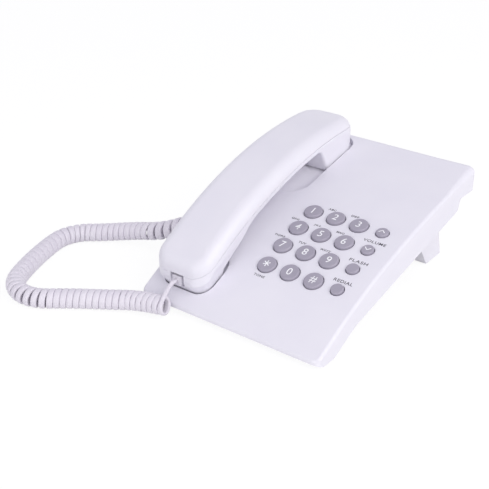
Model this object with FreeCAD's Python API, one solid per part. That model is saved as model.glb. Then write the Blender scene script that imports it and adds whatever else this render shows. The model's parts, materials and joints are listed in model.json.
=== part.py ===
import FreeCAD, Part
import math
import os
from FreeCAD import Placement, Rotation, Vector

# Corded desk phone. Millimetres, +X right, +Y to the rear, +Z up, table at z = 0.
# The origin is on the table, below the middle of the base's width and front_reach behind its front.

# Base: from the front edge the top panel rises in two arcs and ends straight at the rear
base_depth = 203.0
front_reach = 102.3
front_width = 147.0
rear_width = 153.2
front_height = 7.7
front_angle = 31.0
front_arc = 385.0
mid_angle = 16.0
rear_arc = 900.0
panel_angle = 12.2
corner_radius = 6.0
edge_round = 2.2
rear_round = 5.0
shell = 2.4
skirt = 14.0
front_lip = 2.5
front_undercut = 6.0
spill = 1.0
nose_depth = 7.0
eave_depth = 22.0

# Lower case and stand
under_angle = 13.3
rear_wall = 9.6
floor = 2.0
reveal = 0.8
fit_gap = 0.3
rear_step = 3.0
tongue_overlap = 12.0
stand_inset = 16.5
stand_plate = 2.5
stand_from_rear = 26.0
stand_depth = 37.0
leg_width = 9.0
leg_depth = 22.5
leg_kick = 13.0
leg_set_back = 4.0
cross_wall = 3.0
cross_clear = 12.0
tab_width = 8.0
tab_thick = 2.0
tab_rise = 3.5
foot_height = 2.2
foot_radius = 4.6
foot_inset = 21.5
foot_from_front = 13.0
pad_height = 1.2
pad_width = 7.0
pad_length = 17.0

# Keys
keypad_from_front = 74.4
key_pitch_x = 18.6
key_pitch_y = 19.4
key_diameter = 13.3
side_key_inset = 18.5
side_key_offset = 36.8
side_key_diameter = 8.9
key_gap = 0.5
key_proud = 1.9
key_round = 1.0
key_flange = 1.1
key_flange_thick = 1.0
key_travel = 1.2

# Circuit board, mat and what they carry
board_depth = 10.0
board_thick = 1.6
board_left_margin = 4.0
board_right_margin = 2.2
board_end_margin = 8.8
board_screw_inset = 4.0
mat_thick = 1.0
mat_margin = 2.0
dome_radius = 4.6
dome_tip = 3.2
boss_diameter = 7.0
screw_shank = 2.6
screw_head = 5.4
screw_head_height = 1.8
pilot_clearance = 0.1
case_screw_inset = 6.8
case_screw_from_rear = 48.0
case_screw_from_front = 55.0
case_screw_grip = 4.0
case_screw_bite = 8.0
chip_size = 13.0
chip_height = 1.8
relay_length = 16.0
relay_width = 11.0
relay_height = 5.0
capacitor_radius = 3.2
capacitor_height = 5.0

# Handset, lying along the left of the base
handset_inset = 30.0
handset_width = 47.5
handset_front_margin = 7.0
handset_rear_margin = 6.0
crest_inset = 3.6
ear_height = 22.3
mouth_height = 25.0
cover_depth = 8.0
grip_depth = 12.0
handset_front_corner = 14.0
handset_rear_corner = 17.0
crown_inset = 15.0
crown_height = 23.0
crown_mouth_height = 24.2
shoulder_round = 10.0
handset_edge_round = 1.5
sharp_angle = 35.0
heal_precision = 0.001
handset_shell = 2.2
seam = 0.15
ear_length = 42.7
ear_lean = 28.0
ear_fillet = 6.0
ear_corner = 4.0
mouth_length = 25.0
mouth_toe_inset = 3.6
mouth_toe_height = 14.0
mouth_rise = 7.2
mouth_draft = 15.6
draft_tilt = 22.0
draft_top = 14.3
draft_run = 36.0
mouth_front_reach = -2.6
mouth_angle = 41.7
mouth_bend = 40.0
pocket_depth = 4.0
pocket_gap = 1.0
mouth_rim_gap = 1.2
mouth_rim_set = 0.3
rest_gap = 0.3
pocket_corner = 11.0
pocket_rear_corner = 14.0
pocket_inner_corner = 3.0
mouth_heel_reach = 11.0
mouth_heel_taper = 2.6
mouth_heel_corner = 8.0
scoop_from_ear = 16.3
scoop_radius = 28.0
scoop_depth = 5.5
scoop_floor_radius = 60.0

# Inside the handset
receiver_diameter = 28.0
receiver_height = 9.0
gasket_thick = 1.6
gasket_wall = 2.0
mic_diameter = 6.0
mic_height = 5.0
mic_inset = 13.5
mic_boot_wall = 1.6
mic_boot_floor = 1.0
mic_seat_lift = 0.2
seat_gap = 0.1
sound_hole = 2.0
sound_hole_ring = 6.0
weight_end_gap = 17.0
weight_width = 16.0
weight_thick = 5.0
weight_offset = 10.0
seat_wall = 1.2
seat_height = 3.0
handset_screw_grip = 2.0
screw_from_ear = 14.3
screw_from_mouth = 18.0

# Hook switch, sounder, sockets and slide switches
hook_from_ear = 7.5
hook_pin = 6.0
hook_gap = 0.35
hook_travel = 4.0
hook_spare = 3.6
hook_flange = 1.6
hook_flange_thick = 1.5
hook_switch_height = 3.6
hook_switch_size = 14.0
sounder_offset = 7.0
sounder_from_front = 108.0
sounder_diameter = 27.0
sounder_thick = 3.0
sounder_wall = 1.6
grille_slot = 1.6
grille_pitch = 4.0
jack_width = 11.0
jack_height = 9.0
jack_depth = 11.0
jack_wall = 1.5
jack_recess = 1.0
plug_width = 7.6
plug_height = 6.6
plug_length = 11.7
plug_gap = 0.2
latch_groove = 0.8
plug_proud = 3.5
plug_round = 0.5
base_jack_from_front = 72.0
line_jack_inset = 46.5
line_jack_width = 13.0
line_jack_height = 9.0
line_jack_depth = 14.0
line_socket_width = 9.8
line_socket_height = 6.0
ringer_switch_offset = -34.0
dial_switch_offset = 28.0
switch_slot = 8.0
switch_slot_height = 3.4
switch_travel = 3.6
switch_body_length = 15.0
switch_body_depth = 6.0
switch_knob_proud = 1.6
switch_knob_root = 1.5
switch_groove = 2.0

# Curly cord: the coil's axis from the base to the handset, in points chosen by hand,
# measured from the handset's middle line, the base's front and the table
coil_route = (
    (-45.0, 72.0, 26.4), (-57.0, 67.0, 20.5), (-72.5, 63.5, 15.5), (-86.0, 62.5, 12.3),
    (-101.5, 56.5, 9.4), (-115.0, 48.5, 7.6), (-128.5, 39.0, 7.3), (-134.0, 24.5, 7.3),
    (-130.5, 7.5, 7.3), (-119.0, -24.0, 7.3), (-105.5, -49.0, 7.3), (-81.0, -54.0, 7.3),
    (-58.0, -35.5, 7.3), (-36.5, -22.0, 7.6), (-18.5, -11.0, 8.6), (3.0, -8.5, 11.0),
)
coil_diameter = 14.0
cord_diameter = 3.0
coil_turns = 58
end_straight = 3.4

# Worked out from the sizes above
REAR = base_depth - front_reach
FRONT = -front_reach
NOSE = math.radians(front_angle)
MID = math.radians(mid_angle)
PANEL = math.radians(panel_angle)
UNDER = math.radians(under_angle)
LOW, HIGH = -base_depth / 10, base_depth
SIDE = rear_width
NODES = {}


# Shape of the top panel in the YZ plane
def at_angle(centre, radius, angle):
    return (centre[0] - radius * math.sin(angle), centre[1] + radius * math.cos(angle))


FRONT_CENTRE = at_angle((FRONT, front_height), -front_arc, NOSE)
REAR_CENTRE = at_angle(at_angle(FRONT_CENTRE, front_arc, MID), -rear_arc, MID)


def panel_breaks(depth):
    """Y of the two places where the panel, taken inwards by depth, changes radius."""
    rear = at_angle(REAR_CENTRE, rear_arc - depth, PANEL)
    mid = at_angle(REAR_CENTRE, rear_arc - depth, MID)
    return rear[0], mid[0]


def panel_z(y, depth=0.0):
    """Height of the panel at y, taken inwards by depth."""
    rear, mid = panel_breaks(depth)
    if y >= rear:
        start = at_angle(REAR_CENTRE, rear_arc - depth, PANEL)
        return start[1] + (y - rear) * math.tan(PANEL)
    if y >= mid:
        return REAR_CENTRE[1] + math.sqrt((rear_arc - depth) ** 2 - (y - REAR_CENTRE[0]) ** 2)
    return FRONT_CENTRE[1] + math.sqrt((front_arc - depth) ** 2 - (y - FRONT_CENTRE[0]) ** 2)


def panel_tilt(y):
    """Slope of the panel at y, in radians."""
    rear, mid = panel_breaks(0.0)
    if y >= rear:
        return PANEL
    if y >= mid:
        return math.asin((REAR_CENTRE[0] - y) / rear_arc)
    return math.asin((FRONT_CENTRE[0] - y) / front_arc)


def panel_step(y, length):
    """Y reached by going the given length along the panel from y."""
    steps = 60
    for _ in range(steps):
        y += length / steps * math.cos(panel_tilt(y))
    return y


def panel_frame(x, y):
    """Placement on the panel, with its own +Z square to the surface."""
    turn = Rotation(Vector(1, 0, 0), math.degrees(panel_tilt(y)))
    return Placement(Vector(x, y, panel_z(y)), turn)


def half_width(y):
    """Half of the base's width at y."""
    return (front_width + (rear_width - front_width) * (y - FRONT) / base_depth) / 2


def under_z(y):
    """Height of the lower case's underside at y."""
    return EAVE_Z - rear_wall + (y - REAR_FOOT) * math.tan(UNDER)


def under_frame(x, y):
    """Placement on the underside of the lower case, with +Z square to it and upwards."""
    return Placement(Vector(x, y, under_z(y)), Rotation(Vector(1, 0, 0), under_angle))


# Small helpers
def point(y, z):
    return Vector(0, y, z)


def line(a, b):
    return Part.LineSegment(a, b).toShape()


def arc(a, middle, b):
    return Part.Arc(a, middle, b).toShape()


def chain(y_from, y_to, depth):
    """Edges along the panel, taken inwards by depth, from one y to another."""
    low, high = min(y_from, y_to), max(y_from, y_to)
    stops = [y_from, y_to] + [y for y in panel_breaks(depth) if low < y < high]
    stops.sort(reverse=y_from > y_to)
    edges = []
    for a, b in zip(stops, stops[1:]):
        middle = (a + b) / 2
        ends = [point(y, panel_z(y, depth)) for y in (a, middle, b)]
        if middle > panel_breaks(depth)[0]:
            edges.append(line(ends[0], ends[2]))
        else:
            edges.append(arc(*ends))
    return edges


def lines(points):
    return [line(a, b) for a, b in zip(points, points[1:])]


def across(edges, half_width, x=0.0):
    """Closed YZ outline made into a solid across X."""
    face = Part.Face(Part.Wire(edges))
    face.translate(Vector(x - half_width, 0, 0))
    return face.extrude(Vector(2 * half_width, 0, 0))


def upright_edges(shape):
    found = []
    for edge in shape.Edges:
        box = edge.BoundBox
        if box.ZLength > 1.0 and box.XLength < 0.001 and box.YLength < 0.001:
            found.append(edge)
    return found


def prism(points, z_low, z_high):
    corners = [Vector(x, y, z_low) for x, y in points]
    face = Part.Face(Part.makePolygon(corners + corners[:1]))
    return face.extrude(Vector(0, 0, z_high - z_low))


def rounded(points, radii):
    """Upright prism with each corner rounded by its own radius."""
    block = prism(points, LOW, HIGH)
    for (x, y), radius in zip(points, radii):
        near = []
        for edge in upright_edges(block):
            at = edge.Vertexes[0].Point
            if abs(at.x - x) < 0.001 and abs(at.y - y) < 0.001:
                near.append(edge)
        block = block.makeFillet(radius, near)
    return block


def plan(inset):
    """The base seen from above, taken inwards on every side."""
    front = front_width / 2 - inset
    rear = rear_width / 2 - inset
    low, high = FRONT + inset, REAR - inset
    corners = [(-front, low), (front, low), (rear, high), (-rear, high)]
    return rounded(corners, [max(corner_radius - inset, 0.5)] * 4)


def block(x, y, z, size_x, size_y, size_z):
    """Box centred on x and y, with its underside at z."""
    return Part.makeBox(size_x, size_y, size_z, Vector(x - size_x / 2, y - size_y / 2, z))


def disc(radius, height, z=0.0):
    return Part.makeCylinder(radius, height, Vector(0, 0, z))


def placed(shape, placement):
    moved = shape.copy()
    moved.Placement = placement.multiply(moved.Placement)
    return moved


def fused(shapes):
    whole = shapes[0]
    if len(shapes) > 1:
        whole = whole.multiFuse(shapes[1:])
    return whole.removeSplitter()


def add(name, *shapes):
    """Keep the solids of one node."""
    solids = []
    for shape in shapes:
        solids.extend(shape.Solids)
    NODES[name] = solids[0] if len(solids) == 1 else Part.makeCompound(solids)


def screw(length):
    """Pan-head screw: underside of the head at z = 0, shank upwards."""
    head = disc(screw_head / 2, screw_head_height, -screw_head_height)
    head = head.makeFillet(screw_head_height * 0.4, [head.Edges[2]])
    recess = block(0, 0, -screw_head_height, 0.6, screw_head * 0.6, screw_head_height * 0.4)
    return fused([head, disc(screw_shank / 2, length)]).cut(recess)


def draft_inset(y, z):
    """How far the draft takes the mouthpiece's side inwards at this height."""
    tilt = math.radians(draft_tilt)
    level = (z - panel_z(MOUTH_TOE)) * math.cos(tilt) - (y - MOUTH_TOE) * math.sin(tilt)
    return (draft_top - level) * math.tan(math.radians(mouth_draft))


# Places shared by several pieces
SKIRT_REAR = REAR - eave_depth
EAVE_Z = panel_z(SKIRT_REAR, skirt)
REAR_FOOT = SKIRT_REAR - rear_step
STAND_WIDTH = rear_width - 2 * stand_inset
STAND_REAR = REAR - stand_from_rear
STAND_FRONT = STAND_REAR - stand_depth
LEG_REAR = STAND_REAR + leg_kick
LEG_FRONT = LEG_REAR - leg_depth
LEG_TOP_FRONT = STAND_FRONT + leg_set_back
SKIRT_TOE = FRONT_CENTRE[0] - math.sqrt((front_arc - skirt) ** 2 - (foot_height - FRONT_CENTRE[1]) ** 2)
KEYPAD_Y = FRONT + keypad_from_front
SIDE_KEY_X = half_width(KEYPAD_Y) - side_key_inset
KEYPAD_X = SIDE_KEY_X - side_key_offset
KEY_ROWS = [panel_step(KEYPAD_Y, (1.5 - row) * key_pitch_y) for row in range(4)]
KEY_COLUMNS = [KEYPAD_X + (column - 1) * key_pitch_x for column in range(3)]
KEY_FOOT = shell + fit_gap + key_flange_thick
MAT_LENGTH = 3 * key_pitch_y + key_diameter + 2 * mat_margin
BOARD_LEFT = KEY_COLUMNS[0] - key_diameter / 2 - board_left_margin
BOARD_RIGHT = SIDE_KEY_X + side_key_diameter / 2 + board_right_margin
BOARD_LENGTH = MAT_LENGTH + 2 * board_end_margin
BOARD_X = (BOARD_LEFT + BOARD_RIGHT) / 2
BOARD_WIDTH = BOARD_RIGHT - BOARD_LEFT
BOARD = panel_frame(BOARD_X, KEYPAD_Y)
HANDSET_X = handset_inset - half_width(0.0)
HANDSET_FRONT = FRONT + handset_front_margin
HANDSET_REAR = REAR - handset_rear_margin
EAR_FRONT = HANDSET_REAR - ear_length
MOUTH_REAR = HANDSET_FRONT + mouth_length
MOUTH_TOE = HANDSET_FRONT + mouth_toe_inset
CREST_Y = HANDSET_REAR - crest_inset
CREST_Z = panel_z(CREST_Y) + ear_height
HANDSET_DROP = CREST_Z - panel_z(HANDSET_FRONT) - mouth_height
HANDSET_ARCH = ((CREST_Y - HANDSET_FRONT) ** 2 + HANDSET_DROP ** 2) / (2 * HANDSET_DROP)
ARCH_CENTRE = (CREST_Y, CREST_Z - HANDSET_ARCH)
CROWN_Y = HANDSET_REAR - crown_inset
CROWN_Z = panel_z(CROWN_Y) + crown_height
CROWN_DROP = CROWN_Z - panel_z(HANDSET_FRONT) - crown_mouth_height
CROWN_RADIUS = ((CROWN_Y - HANDSET_FRONT) ** 2 + CROWN_DROP ** 2) / (2 * CROWN_DROP)
CROWN_CENTRE = (CROWN_Y, CROWN_Z - CROWN_RADIUS)
HANDSET_SCREWS = (EAR_FRONT - screw_from_ear, MOUTH_REAR + screw_from_mouth)
DRAFT_START = Vector(HANDSET_X, MOUTH_TOE, panel_z(MOUTH_TOE))
DRAFT_FRAME = Placement(DRAFT_START, Rotation(Vector(1, 0, 0), draft_tilt))
DRAFT_LENGTH = MOUTH_REAR + draft_run - MOUTH_TOE
MOUTH_INSET = draft_inset(MOUTH_TOE, panel_z(MOUTH_TOE, pocket_depth))
MIC_X = HANDSET_X - (handset_width / 2 - MOUTH_INSET - handset_shell + jack_width / 2) / 2
MIC_Y = HANDSET_FRONT + mic_inset
WEIGHT_Y = sum(HANDSET_SCREWS) / 2 + weight_offset
WEIGHT_LENGTH = HANDSET_SCREWS[0] - HANDSET_SCREWS[1] - 2 * weight_end_gap
HOOK_Y = EAR_FRONT + hook_from_ear
HOOK_LENGTH = shell + hook_travel + hook_flange_thick + hook_spare
SCOOP_Y = EAR_FRONT - scoop_from_ear
SOUNDER_X = HANDSET_X + sounder_offset
SOUNDER_Y = FRONT + sounder_from_front
BASE_JACK_Y = FRONT + base_jack_from_front
LINE_JACK_X = rear_width / 2 - line_jack_inset
SWITCH_X = (LINE_JACK_X + ringer_switch_offset, LINE_JACK_X + dial_switch_offset)
PILOT = screw_shank / 2 + pilot_clearance


def key_list():
    """Name, x, y and diameter of every key."""
    names = ("key_1", "key_2", "key_3", "key_4", "key_5", "key_6", "key_7", "key_8", "key_9",
             "key_star", "key_0", "key_hash")
    keys = []
    for index, name in enumerate(names):
        keys.append((name, KEY_COLUMNS[index % 3], KEY_ROWS[index // 3], key_diameter))
    for name, y in zip(("volume_up_key", "volume_down_key", "flash_key", "redial_key"), KEY_ROWS):
        keys.append((name, SIDE_KEY_X, y, side_key_diameter))
    return keys


def board_screw_places():
    places = []
    half_width = BOARD_WIDTH / 2 - board_screw_inset
    half_length = BOARD_LENGTH / 2 - board_screw_inset
    for x in (-half_width, half_width):
        for y in (-half_length, half_length):
            places.append((x, y))
    return places


def case_screw_places():
    places = []
    for y in (FRONT + case_screw_from_front, REAR - case_screw_from_rear):
        x = half_width(y) - case_screw_inset
        places += [(-x, y), (x, y)]
    return places


def case_screw_joint(y):
    """Height where the two case halves' bosses meet."""
    return max(panel_z(y, skirt), under_z(y) + floor + case_screw_grip)


# Handset pockets
def pocket_outline(spare):
    """Ear and mouth pockets seen from above, with spare room on every side."""
    half = handset_width / 2 + pocket_gap + spare
    left, right = HANDSET_X - half, HANDSET_X + half
    lip = EAR_FRONT - pocket_depth * math.tan(math.radians(ear_lean)) - pocket_gap - spare
    back = HANDSET_REAR + pocket_gap + spare
    ear = [(left, lip), (right, lip), (right, back), (left, back)]
    toe = MOUTH_TOE + mouth_rim_set - spare
    heel = MOUTH_REAR + mouth_heel_reach + spare
    front, rear = [draft_inset(y, panel_z(y)) + pocket_gap - mouth_rim_gap for y in (MOUTH_TOE, MOUTH_REAR)]
    knee, slim = MOUTH_REAR + pocket_gap, rear + mouth_heel_taper
    mouth = [(left + front, toe), (right - front, toe), (right - rear, knee), (right - slim, heel),
             (left + slim, heel), (left + rear, knee)]
    inner = pocket_inner_corner + spare
    ear_prism = rounded(ear, [inner, inner, pocket_rear_corner, pocket_rear_corner])
    heel_corner = mouth_heel_corner + spare
    mouth_prism = rounded(mouth, [pocket_corner] * 2 + [heel_corner] * 4)
    return ear_prism, mouth_prism


def above_panel(depth):
    """Everything above the panel taken inwards by depth."""
    y_low, y_high = FRONT - spill, REAR + spill
    top = [point(y_low, panel_z(y_low, depth)), point(y_low, HIGH), point(y_high, HIGH),
           point(y_high, panel_z(y_high, depth))]
    return across(chain(y_high, y_low, depth) + lines(top), SIDE)


def pockets(spare):
    """Both handset pockets and the finger scoop as cutters, or with a wall round them."""
    space = above_panel(pocket_depth + spare)
    ear, mouth = pocket_outline(spare)
    half = handset_width / 2 + pocket_gap
    deck = panel_frame(HANDSET_X, SCOOP_Y)
    reach = scoop_radius + spare
    bend = scoop_floor_radius + spare
    bowl = Part.makeCylinder(reach, 2 * reach, Vector(0, 0, -reach))
    line = Vector(half, -reach, scoop_floor_radius - scoop_depth)
    trough = Part.makeCylinder(bend, 2 * reach, line, Vector(0, 1, 0))
    slab = Part.makeBox(half + spare, 2 * reach, 2 * reach, Vector(0, -reach, -reach))
    scoop = bowl.common(trough).common(slab)
    scoop.Placement = deck
    return [ear.common(space), mouth.common(space), scoop]


# Base casings
def upper_case():
    lip_z = panel_z(FRONT) - front_lip
    front, rear = FRONT - spill, REAR + spill
    over = lip_z + (lip_z - foot_height) * spill / front_undercut
    rim = chain(rear, front, 0.0)
    rim += lines([point(front, panel_z(front)), point(front, over),
                  point(FRONT + front_undercut, foot_height), point(SKIRT_TOE, foot_height)])
    rim += chain(SKIRT_TOE, SKIRT_REAR, skirt)
    rim += lines([point(SKIRT_REAR, EAVE_Z), point(rear, EAVE_Z), point(rear, panel_z(rear))])
    body = across(rim, SIDE).common(plan(0.0))
    body = rounded_rim(body)

    nose = FRONT + nose_depth
    rear_wall = REAR - shell
    inside = chain(rear_wall, nose, shell)
    inside += lines([point(nose, panel_z(nose, shell)), point(nose, LOW), point(SKIRT_REAR, LOW),
                     point(SKIRT_REAR, EAVE_Z + shell), point(rear_wall, EAVE_Z + shell),
                     point(rear_wall, panel_z(rear_wall, shell))])
    hollow = across(inside, SIDE).common(plan(shell))
    bosses = [b.common(hollow) for b in upper_bosses()]
    for tub in pockets(shell):
        hollow = hollow.cut(tub)
    body = body.cut(hollow)
    body = fused([body] + bosses)
    cutters = pockets(0.0) + key_holes() + upper_pilots() + upper_windows()
    return body.cut(cutters)


def rounded_rim(body):
    """Rounds the rim of the top panel, most along the rear and fading round the rear corners."""
    rims = []
    for number, edge in enumerate(body.Edges, 1):
        ends = [edge.valueAt(edge.FirstParameter), edge.valueAt(edge.LastParameter)]
        if any(abs(p.z - panel_z(p.y)) > 0.01 for p in ends):
            continue
        across_panel = edge.BoundBox.YLength < 0.001
        outer = abs(ends[0].y - FRONT) < 0.01 or abs(ends[0].y - REAR) < 0.01
        if across_panel and not outer:
            continue
        radii = [rear_round if abs(p.y - REAR) < 0.01 else edge_round for p in ends]
        rims.append((number, *radii))
    return varied_fillet(body, rims)


def varied_fillet(body, rims):
    """Rounds numbered edges, each from a first radius to a last."""
    work = FreeCAD.newDocument()
    plain = work.addObject("Part::Feature")
    plain.Shape = body
    rounding = work.addObject("Part::Fillet")
    rounding.Base = plain
    rounding.Edges = rims
    work.recompute()
    shape = rounding.Shape.copy()
    FreeCAD.closeDocument(work.Name)
    return shape


def upper_bosses():
    """Board and case screw bosses, still too long at the panel end."""
    bosses = []
    for x, y in board_screw_places():
        boss = Part.makeCylinder(boss_diameter / 2, board_depth, Vector(x, y, -board_depth))
        bosses.append(placed(boss, BOARD))
    for x, y in case_screw_places():
        low = case_screw_joint(y)
        bosses.append(Part.makeCylinder(boss_diameter / 2, HIGH - low, Vector(x, y, low)))
    return bosses


def upper_pilots():
    holes = []
    for x, y in board_screw_places():
        hole = Part.makeCylinder(PILOT, board_depth - shell - 1, Vector(x, y, -board_depth))
        holes.append(placed(hole, BOARD))
    for x, y in case_screw_places():
        holes.append(Part.makeCylinder(PILOT, case_screw_bite + 1, Vector(x, y, case_screw_joint(y))))
    return holes


def key_holes():
    holes = []
    for _, x, y, diameter in key_list():
        holes.append(placed(disc(diameter / 2 + key_gap, 4 * shell, -2 * shell), panel_frame(x, y)))
    return holes


def base_jack_window():
    """Opening for the handset cord's socket, through the left wall of both halves."""
    wide = jack_width + 2 * fit_gap
    tall = jack_height + 2 * fit_gap
    z = panel_z(BASE_JACK_Y, skirt) - tall / 2
    return block(-rear_width / 2, BASE_JACK_Y, z, rear_width / 4, wide, tall)


def upper_windows():
    """Openings for the sockets, the hook pin and the slide switches."""
    hook = Part.makeCylinder(hook_pin / 2 + hook_gap, HIGH, Vector(HANDSET_X, HOOK_Y, 0))
    line_jack = block(LINE_JACK_X, REAR, EAVE_Z + shell, line_jack_width + 2 * fit_gap, 4 * shell,
                      line_jack_height + fit_gap)
    slots = [block(x, REAR, switch_z() - switch_slot_height / 2, switch_slot, 4 * shell, switch_slot_height)
             for x in SWITCH_X]
    return [base_jack_window(), hook, line_jack] + slots


def switch_z():
    return EAVE_Z + shell + line_jack_height / 2


def tray_front():
    """Y where the lower case's underside reaches the upper case's skirt."""
    low, high = FRONT, REAR / 2
    for _ in range(60):
        middle = (low + high) / 2
        if under_z(middle) < panel_z(middle, skirt):
            high = middle
        else:
            low = middle
    return high


def lower_case():
    front = tray_front()
    rear_low = REAR_FOOT
    outline = chain(SKIRT_REAR, front, skirt)
    outline += lines([point(front, panel_z(front, skirt)), point(rear_low, under_z(rear_low)),
                      point(SKIRT_REAR, EAVE_Z)])
    tray = across(outline, SIDE).common(plan(reveal))
    back = rear_low - floor
    rise = floor / math.cos(UNDER)
    hollow = across(lines([point(front, under_z(front) + rise), point(back, under_z(back) + rise),
                           point(SKIRT_REAR - floor, EAVE_Z), point(SKIRT_REAR - floor, HIGH),
                           point(front, HIGH), point(front, under_z(front) + rise)]), SIDE)
    tray = tray.cut(hollow.common(plan(reveal + floor)))

    tip = FRONT + nose_depth + fit_gap
    heel = front + tongue_overlap
    sheet = chain(heel, tip, skirt - floor)
    sheet += lines([point(tip, panel_z(tip, skirt - floor)), point(tip, LOW), point(heel, LOW),
                    point(heel, panel_z(heel, skirt - floor))])
    under = [point(tip, foot_height), point(SKIRT_TOE, foot_height)]
    below = lines([point(heel, LOW), point(tip, LOW), point(tip, foot_height)]) + lines(under)
    below += chain(SKIRT_TOE, heel, skirt) + [line(point(heel, panel_z(heel, skirt)), point(heel, LOW))]
    tongue = across(sheet, SIDE).cut(across(below, 2 * SIDE))
    ledge = across(lines([point(tip, foot_height), point(SKIRT_TOE, foot_height),
                          point(SKIRT_TOE, foot_height + floor), point(tip, foot_height + floor),
                          point(tip, foot_height)]), SIDE)
    tongue = tongue.fuse(ledge).common(plan(shell + fit_gap))

    ground = across(lines([point(FRONT, under_z(FRONT)), point(REAR, under_z(REAR)), point(REAR, HIGH),
                           point(FRONT, HIGH), point(FRONT, under_z(FRONT))]), SIDE)
    added = [shape.common(ground) for shape in lower_posts()]
    body = fused([tray, tongue] + added)
    return body.cut(lower_cutters())


def lower_posts():
    """Screw posts, the hook switch's pedestal and the sounder's ring."""
    posts = []
    for x, y in case_screw_places():
        posts.append(Part.makeCylinder(boss_diameter / 2, case_screw_joint(y) - LOW, Vector(x, y, LOW)))
    posts.append(block(HANDSET_X, HOOK_Y, LOW, hook_switch_size, hook_switch_size, hook_floor_z() - LOW))
    ring = disc(sounder_diameter / 2 + fit_gap + sounder_wall, floor + sounder_thick)
    ring = ring.cut(disc(sounder_diameter / 2 + fit_gap, sounder_thick, floor))
    posts.append(placed(ring, under_frame(SOUNDER_X, SOUNDER_Y)))
    return posts


def lower_cutters():
    cutters = [base_jack_window()]
    for x, y in case_screw_places():
        seat = case_screw_joint(y) - case_screw_grip
        cutters.append(Part.makeCylinder(PILOT + 0.3, HIGH, Vector(x, y, LOW)))
        cutters.append(Part.makeCylinder(screw_head / 2 + fit_gap, seat - LOW, Vector(x, y, LOW)))
    for index in range(-2, 3):
        length = sounder_diameter * 0.7 - 3 * abs(index)
        slot = block(index * grille_pitch, 0, -1, grille_slot, length, floor + 2)
        cutters.append(placed(slot, under_frame(SOUNDER_X, SOUNDER_Y)))
    for place in tab_places():
        slot = block(0, 0, -1, tab_width + 2 * fit_gap, tab_thick + 2 * fit_gap, floor + 2)
        cutters.append(placed(slot, place))
    return cutters


def hook_pin_top():
    return panel_z(HOOK_Y - hook_pin / 2, pocket_depth)


def hook_floor_z():
    return hook_pin_top() - HOOK_LENGTH - fit_gap - hook_switch_height


def tab_places():
    inner = STAND_WIDTH / 2 - 2 * tab_width
    middle = (STAND_FRONT + STAND_REAR) / 2
    reach = (STAND_REAR - STAND_FRONT) / 2 - 2 * tab_thick
    return [under_frame(x, middle + side * reach) for x in (-inner, inner) for side in (-1, 1)]


def desk_stand():
    drop = stand_plate / math.cos(UNDER)
    plate = across(lines([point(STAND_FRONT, under_z(STAND_FRONT)), point(STAND_REAR, under_z(STAND_REAR)),
                          point(STAND_REAR, under_z(STAND_REAR) - drop),
                          point(STAND_FRONT, under_z(STAND_FRONT) - drop),
                          point(STAND_FRONT, under_z(STAND_FRONT))]), STAND_WIDTH / 2)
    side = [point(LEG_FRONT, pad_height), point(LEG_REAR, pad_height),
            point(STAND_REAR, under_z(STAND_REAR) - drop),
            point(LEG_TOP_FRONT, under_z(LEG_TOP_FRONT) - drop), point(LEG_FRONT, pad_height)]
    pieces = [plate]
    for x in (-1, 1):
        pieces.append(across(lines(side), leg_width / 2, x * (STAND_WIDTH - leg_width) / 2))
    lean = (STAND_REAR - LEG_REAR) / (under_z(STAND_REAR) - drop - pad_height)
    low = pad_height + cross_clear
    low_y = LEG_REAR + lean * cross_clear
    wall = [point(low_y, low), point(STAND_REAR, under_z(STAND_REAR) - drop),
            point(STAND_REAR - cross_wall, under_z(STAND_REAR - cross_wall) - drop),
            point(low_y - cross_wall, low), point(low_y, low)]
    pieces.append(across(lines(wall), STAND_WIDTH / 2 - leg_width / 2))
    for place in tab_places():
        tab = block(0, 0, -stand_plate / 2, tab_width, tab_thick, stand_plate / 2 + tab_rise)
        tab = tab.makeChamfer(tab_thick * 0.3, [e for e in tab.Edges if e.BoundBox.ZMin > tab_rise - 0.01])
        pieces.append(placed(tab, place))
    return fused(pieces)


def rubber_feet():
    feet = []
    foot_x = front_width / 2 - foot_inset
    for x in (-foot_x, foot_x):
        foot = disc(foot_radius, foot_height)
        foot = foot.makeFillet(foot_height * 0.3, [foot.Edges[2]])
        feet.append(placed(foot, Placement(Vector(x, FRONT + foot_from_front, 0), Rotation())))
    for x in (-1, 1):
        at = x * (STAND_WIDTH - leg_width) / 2
        feet.append(block(at, (LEG_FRONT + LEG_REAR) / 2, 0, pad_width, pad_length, pad_height))
    return feet


# Keys, mat and board
def key(diameter):
    """Round key: the panel's surface is at z = 0."""
    cap = disc(diameter / 2, KEY_FOOT + key_proud, -KEY_FOOT)
    cap = cap.makeFillet(key_round, [e for e in cap.Edges if e.BoundBox.ZMin > key_proud - 0.01])
    return fused([cap, disc(diameter / 2 + key_gap + key_flange, key_flange_thick, -KEY_FOOT)])


def keypad_mat():
    rows = MAT_LENGTH / 2
    left = KEY_COLUMNS[0] - key_diameter / 2 - mat_margin
    right = SIDE_KEY_X + side_key_diameter / 2 + mat_margin
    under = -board_depth
    sheet = Part.makeBox(right - left, 2 * rows, mat_thick, Vector(left - BOARD_X, -rows, under))
    pieces = [sheet]
    for _, x, y, diameter in key_list():
        foot = BOARD.inverse().multVec(panel_frame(x, y).multVec(Vector(0, 0, -KEY_FOOT)))
        share = diameter / key_diameter
        height = foot.z - key_travel - fit_gap - (under + mat_thick)
        spot = Vector(foot.x, foot.y, under + mat_thick)
        pieces.append(Part.makeCone(dome_radius * share, dome_tip * share, height, spot))
    return placed(fused(pieces), BOARD)


def main_board():
    sheet = block(0, 0, -board_depth - board_thick, BOARD_WIDTH, BOARD_LENGTH, board_thick)
    holes = [Part.makeCylinder(PILOT + 0.2, 4 * board_thick, Vector(x, y, -board_depth - 2 * board_thick))
             for x, y in board_screw_places()]
    return placed(sheet.cut(holes), BOARD)


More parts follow.
